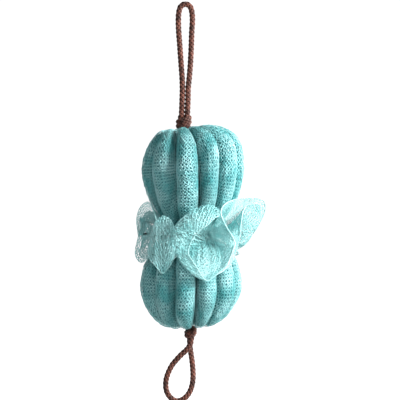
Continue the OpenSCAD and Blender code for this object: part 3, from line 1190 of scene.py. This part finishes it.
@dataclass(frozen=True)
class Studio:
    """Camera, floor and soft lights."""

    look_at: tuple[float, float, float] = (0.0174, 0.0, -0.2304)
    elevation_deg: float = 2.5
    lens_mm: float = 110.0
    sensor_mm: float = 36.0
    frame_m: float = 0.48
    floor_z: float = -0.62
    floor_reach: float = 14.0
    # The backdrop's light on the object, and how much more of it shows
    backdrop_light: float = 0.14
    backdrop_shown: float = 0.93

    def camera(self) -> None:
        """Makes the camera."""
        data = bpy.data.cameras.new("camera")
        data.lens, data.sensor_width = self.lens_mm, self.sensor_mm
        distance = self.lens_mm * self.frame_m / data.sensor_width
        made = bpy.data.objects.new("camera", data)
        bpy.context.scene.collection.objects.link(made)
        tilt = math.radians(self.elevation_deg)
        at = Vector(self.look_at)
        made.location = at + Vector((0, -math.cos(tilt), math.sin(tilt))) * distance
        made.rotation_euler = (math.pi / 2 - tilt, 0, 0)
        bpy.context.scene.camera = made

    def light(self, name: str, place: tuple[float, float, float], power: float, size: float, colour: str) -> None:
        """Makes one soft square light that faces the object.

        Args:
            name: the light's name.
            place: where it stands, in metres.
            power: its power in watts.
            size: its side in metres.
            colour: its colour.
        """
        data = bpy.data.lights.new(name, "AREA")
        data.energy, data.size, data.color = power, size, linear(colour)[:3]
        made = bpy.data.objects.new(name, data)
        bpy.context.scene.collection.objects.link(made)
        made.location = place
        made.rotation_euler = (Vector(self.look_at) - Vector(place)).to_track_quat("-Z", "Y").to_euler()

    def build(self) -> None:
        """Makes the whole studio."""
        self.camera()
        mesh = bpy.data.meshes.new("floor")
        far = self.floor_reach
        corners = ((-far, -far), (far, -far), (far, far), (-far, far))
        mesh.from_pydata([(x, y, self.floor_z) for x, y in corners], [], [(0, 1, 2, 3)])
        mesh.materials.append(PaleFloor("matt_board", "", "#8C8C8C").build())
        link("floor", mesh)
        world = bpy.data.worlds.new("studio")
        bpy.context.scene.world = world
        world.use_nodes = True
        tree = world.node_tree
        tree.nodes.clear()
        # The backdrop is white, and gives the object a softer light than it shows
        seen = add_node(tree, "ShaderNodeLightPath").outputs["Is Camera Ray"]
        strength = add_node(tree, "ShaderNodeMath", {0: seen, 1: self.backdrop_shown, 2: self.backdrop_light},
                            operation="MULTIPLY_ADD")
        back = add_node(tree, "ShaderNodeBackground", {"Color": linear("#FFFFFF"), "Strength": strength.outputs[0]})
        add_node(tree, "ShaderNodeOutputWorld", {"Surface": back.outputs[0]})
        self.light("key", (1.4, -0.65, 0.35), 76.0, 0.4, "#FFFFFF")
        self.light("rim", (1.0, 0.6, 0.1), 18.0, 0.6, "#FFFFFF")
        self.light("fill", (-0.1, -1.6, 0.35), 10.0, 0.8, "#F4FBFF")
        view = bpy.context.scene.view_settings
        view.view_transform, view.look = "Standard", "None"


UPPER_CREASES = (
    (-34, -25, -23), (16, 11, 11), (42, 37, 39), (72, 69, 70), (107, 105, 106),
    (143, 143, 143), (181, 182, 182), (219, 221, 221), (258, 259, 259), (298, 298, 298),
)
LOWER_CREASES = (
    (-30, -22, -30), (12, 9, 10), (40, 37, 38), (71, 70, 70), (106, 106, 106),
    (143, 143, 143), (181, 181, 181), (220, 220, 220), (261, 261, 260), (304, 308, 302),
)
UPPER_LINE = (
    (0.15, 0.0, 0.27), (0.25, 0.085, 0.42), (0.29, 0.125, 0.50), (0.58, 0.17, 0.66), (0.86, 0.36, 0.88),
    (1.00, 0.64, 1.00), (0.92, 0.835, 0.95), (0.64, 0.954, 0.80), (0.35, 0.973, 0.56), (0.18, 0.927, 0.32),
    (0.08, 0.87, 0.16),
)
LOWER_LINE = (
    (0.15, 0.0, 0.27), (0.25, 0.095, 0.42), (0.29, 0.14, 0.50), (0.58, 0.18, 0.66), (0.88, 0.33, 0.90),
    (1.00, 0.58, 1.00), (0.92, 0.80, 0.95), (0.64, 0.945, 0.80), (0.35, 0.967, 0.56), (0.18, 0.912, 0.32),
    (0.08, 0.85, 0.16),
)
HANGING_ROUTE = (
    (-4.6, 0, -128), (-4, 0, -112), (-3.6, 0, -97), (-4, 0, -84), (-5, 0, -70),
    (-6, 0, -56), (-7, 0, -42), (-8, 0, -29), (-8.4, 0, -17), (-8, 0, -8),
    (-6.4, 0, -1.2), (-3.4, 0, 2.2), (0, 0, 3.2), (3.4, 0, 2.2), (6.4, 0, -1.2),
    (8, 0, -8), (8.4, 0, -17), (7.6, 0, -29), (7.2, 0, -42), (6.6, 0, -56),
    (5.8, 0, -70), (4.6, 0, -84), (3.3, 0, -97), (3, 0, -112), (2.2, 0, -128),
)
HAND_ROUTE = (
    (6.6, -3.5, -399), (5.4, -3.5, -405), (1, -3.5, -411), (-5, -3.2, -416.5),
    (-11, -2.6, -423), (-16.5, -2, -430), (-20.5, -1.2, -438), (-23.2, -0.6, -446),
    (-24, 0, -454), (-22.8, 0, -462), (-18.6, 0, -469), (-12, 0, -473.4),
    (-5, 0, -472.4), (1, 0, -468), (5.4, 0, -461.5), (8, 0.6, -453.5),
    (9, 1.2, -445), (8.8, 2, -436), (8, 2.8, -427), (6.6, 3.5, -417),
    (5.4, 3.5, -408), (4.8, 3.5, -399),
)
UPPER_FOLDS = (
    # The tall fold on the left, seen behind the first petal
    Fold(-104, (-34, 8, 8), (-50, 10, 20), (-58, 12, 8)), Fold(-94, (-34, 0, 6), (-54, -2, 12), (-63, -4, -4)),
    Fold(-84, (-34, -6, 8), (-54, -10, 16), (-65, -12, 8)), Fold(-76, (-33, -10, 10), (-52, -16, 22), (-65, -18, 20)),
    Fold(-69, (-32, -14, 12), (-48, -22, 26), (-60, -24, 33)),
    Fold(-63, (-30, -18, 12), (-43, -27, 27), (-50, -28, 38)),
    Fold(-58, (-28, -21, 8), (-40, -31, 16), (-42, -34, 20)), Fold(-54, (-27, -23, 2), (-36, -33, 4), (-38, -36, 0)),
    # The first petal: up over its ridge, and down to a point
    Fold(-50, (-27, -26, 4), (-42, -41, 13), (-49, -44, -9)),
    Fold(-46, (-26, -28, 6), (-42, -44, 16), (-49, -48, -26)),
    Fold(-42, (-25, -30, 8), (-39, -47, 19), (-43, -52, -33)),
    Fold(-38, (-23, -31, 8), (-35, -49, 21), (-34, -54, -43)),
    Fold(-34, (-21, -32, 8), (-30, -50, 20), (-28, -55, -38)),
    Fold(-30, (-19, -33, 7), (-25, -50, 18), (-21, -54, -27)),
    Fold(-26, (-17, -32, 4), (-21, -46, 10), (-18, -50, -8)), Fold(-22, (-14, -31, 2), (-17, -40, 2), (-17, -44, 4)),
    # Behind the big fold's ridge, to its right end
    Fold(-17, (-8, -30, 4), (-10, -42, 10), (-8, -46, 14)), Fold(-11, (2, -30, 8), (6, -44, 20), (10, -48, 26)),
    Fold(-5, (12, -30, 10), (20, -48, 28), (26, -52, 31)),
    # The big fold: a wide throat whose left lip turns over towards the front
    Fold(1, (20, -32, 8), (31, -56, 30), (32, -60, 25)), Fold(7, (20, -34, 4), (26, -60, 35), (26, -64, 21)),
    Fold(13, (19, -34, 2), (18, -62, 37), (19, -67, 14)), Fold(18, (18, -34, 0), (8, -62, 34), (12, -68, 10)),
    Fold(23, (17, -34, -2), (-4, -60, 27), (6, -68, 4)), Fold(28, (16, -34, -4), (-14, -58, 19), (2, -67, -1)),
    Fold(32, (16, -34, -7), (-20, -57, 10), (-1, -66, -7)), Fold(36, (16, -34, -10), (-21, -57, -2), (-3, -66, -14)),
    Fold(40, (17, -34, -13), (-19, -58, -14), (-3, -67, -20)),
    Fold(44, (18, -34, -16), (-15, -60, -24), (1, -68, -27)),
    Fold(48, (20, -34, -19), (-8, -62, -34), (7, -69, -36)), Fold(52, (22, -34, -22), (3, -64, -43), (13, -68, -46)),
    Fold(56, (25, -34, -24), (14, -62, -46), (19, -67, -50)),
    Fold(60, (28, -34, -23), (26, -58, -40), (30, -64, -43)),
    Fold(64, (32, -34, -20), (35, -54, -34), (39, -59, -37)),
    # Its right side twists up into the flare
    Fold(68, (34, -32, -15), (41, -52, -22), (47, -56, -19)), Fold(72, (34, -30, -9), (42, -50, -6), (50, -54, -6)),
    Fold(76, (27, -31, -2), (35, -49, 8), (40, -54, 12)), Fold(80, (24, -30, 8), (31, -47, 22), (34, -52, 28)),
    Fold(85, (29, -28, 14), (38, -42, 30), (42, -46, 39)), Fold(90, (38, -22, 14), (54, -34, 34), (65, -36, 44)),
    Fold(96, (40, -18, 13), (64, -26, 34), (84, -24, 41)), Fold(102, (41, -14, 10), (64, -22, 22), (87, -18, 28)),
    Fold(108, (40, -10, 6), (60, -18, 10), (80, -14, 11)), Fold(114, (38, -4, 2), (54, -12, 0), (71, -8, -3)),
    Fold(121, (36, 4, 0), (47, -4, -6), (60, -4, -15)), Fold(128, (32, 10, 2), (42, 8, -2), (50, 12, -8)),
) + plain_folds(134, 252, 5, (50, 70), (10, 24), (4, -6))
LOWER_FOLDS = (
    # The bulb at the left, under the tall fold
    Fold(-96, (-32, 4, -2), (-48, 2, -2), (-60, 0, -10)), Fold(-86, (-34, -2, 2), (-50, -6, 11), (-62, -8, 19)),
    Fold(-79, (-34, -5, 0), (-50, -11, 5), (-61, -14, 8)),
    Fold(-72, (-34, -9, -8), (-54, -16, -12), (-67, -20, -20)),
    Fold(-66, (-32, -14, -8), (-52, -22, -20), (-63, -26, -31)),
    Fold(-60, (-30, -18, -8), (-48, -26, -18), (-57, -32, -32)),
    Fold(-54, (-28, -22, -6), (-42, -30, -10), (-50, -36, -25)),
    # Inside the first petal and under the big fold
    Fold(-46, (-26, -24, -6), (-38, -36, -6), (-46, -44, -26)),
    Fold(-36, (-22, -28, -8), (-32, -42, -12), (-34, -48, -34)),
    Fold(-26, (-18, -30, -8), (-24, -42, -10), (-22, -50, -28)),
    Fold(-14, (-10, -32, -8), (-14, -44, -10), (-14, -52, -22)),
    Fold(-2, (0, -34, -8), (-6, -50, -14), (-8, -58, -34)), Fold(8, (6, -34, -8), (4, -52, -18), (2, -60, -43)),
    Fold(18, (12, -34, -8), (12, -54, -22), (12, -62, -49)), Fold(28, (18, -32, -8), (24, -52, -20), (24, -60, -47)),
    Fold(38, (22, -30, -8), (32, -48, -16), (34, -56, -40)),
    # Folds at the right, under the flare
    Fold(48, (26, -26, -6), (42, -44, -8), (46, -52, -32)), Fold(57, (30, -22, -4), (48, -32, 4), (56, -38, -4)),
    Fold(66, (33, -16, 0), (50, -22, 16), (62, -26, 30)), Fold(76, (34, -11, 2), (58, -15, 20), (80, -16, 34)),
    Fold(86, (34, -6, -2), (60, -9, 8), (80, -9, 14)), Fold(96, (34, 2, -4), (54, 0, -2), (66, 0, -12)),
    Fold(106, (28, 10, -6), (42, 14, -8), (50, 18, -22)),
) + plain_folds(112, 256, 5, (50, 68), (-4, -8), (-16, -32))


def main() -> None:
    """Builds the studio and every piece, in order."""
    logging.basicConfig(level=logging.INFO, format="%(name)s: %(message)s")
    Studio().build()
    yarn = YarnTree()
    cord_finish = BraidedPolyester("braided_polyester_cord", "brown_cord", "#6B4640").build()
    netting = KnittedNetting("knitted_netting", "aqua_netting", "#8FD3D0").build()
    frill_netting = KnittedNetting("fine_frill_netting", "frill_netting", "#A9E3DF", dark="#7CCCCC", light="#B2E8E8",
                                   see_through=0.15).build()
    # Painted highlight: the frill's edge yarn is coloured paler than its netting, for the bright line along the rim
    hem_highlight = KnittedNetting("knitted_selvedge", "frill_netting", "#B9E8E7", dark="#A4E0DF", light="#CCF1F0",
                              see_through=0.2).build()
    foam = SoftFoam("teal_foam", "foam", "#38797D").build()
    thread = KnittedNetting("twisted_thread", "aqua_thread", "#5AA6A6", dark="#4C9A9A", light="#7CC4C2",
                            see_through=0.1).build()
    CordLoop("hanging_cord", "hanging_loop", "hanging_loop", HANGING_ROUTE, "taut").build(yarn, cord_finish)
    CordLoop("hand_cord", "hand_loop", "hand_loop", HAND_ROUTE, "hanging").build(yarn, cord_finish)
    CordKnot("top_cord_knot", "top_knot", "top_knot", (-2, 0, -137), 8.5, swell_mm=0.9).build(yarn, cord_finish)
    CordKnot("bottom_cord_knot", "bottom_knot", "bottom_knot", (6, 0, -390), 7.4).build(yarn, cord_finish)
    ThreadWinding("top_winding", "top_binding", "upper_bunch", (-2, 0, -158.1)).build(yarn, thread)
    ThreadWinding("bottom_winding", "bottom_binding", "lower_bunch", (6, 0, -382)).build(yarn, thread)
    upper = TubeBunch("upper", Way.UP, 120, 1.5, -11, 0.12, 0, UPPER_CREASES,
                      "upper_bunch", "waist_tie", UPPER_LINE)
    lower = TubeBunch("lower", Way.DOWN, 106, -1, -0.5, 0.05, 0.08, LOWER_CREASES,
                      "lower_bunch", "frill_gathering", LOWER_LINE)
    upper.build(yarn, netting, foam)
    lower.build(yarn, netting, foam)
    Waist().build(yarn, thread, netting)
    for ruffle in (
        Ruffle("upper_ruffle", "frill_upper_ruffle", Way.UP, UPPER_FOLDS, 4.0),
        Ruffle("lower_ruffle", "frill_lower_ruffle", Way.DOWN, LOWER_FOLDS, 1.8),
    ):
        ruffle.build(yarn, frill_netting, hem_highlight, (upper, lower))


if __name__ == "__main__":
    main()
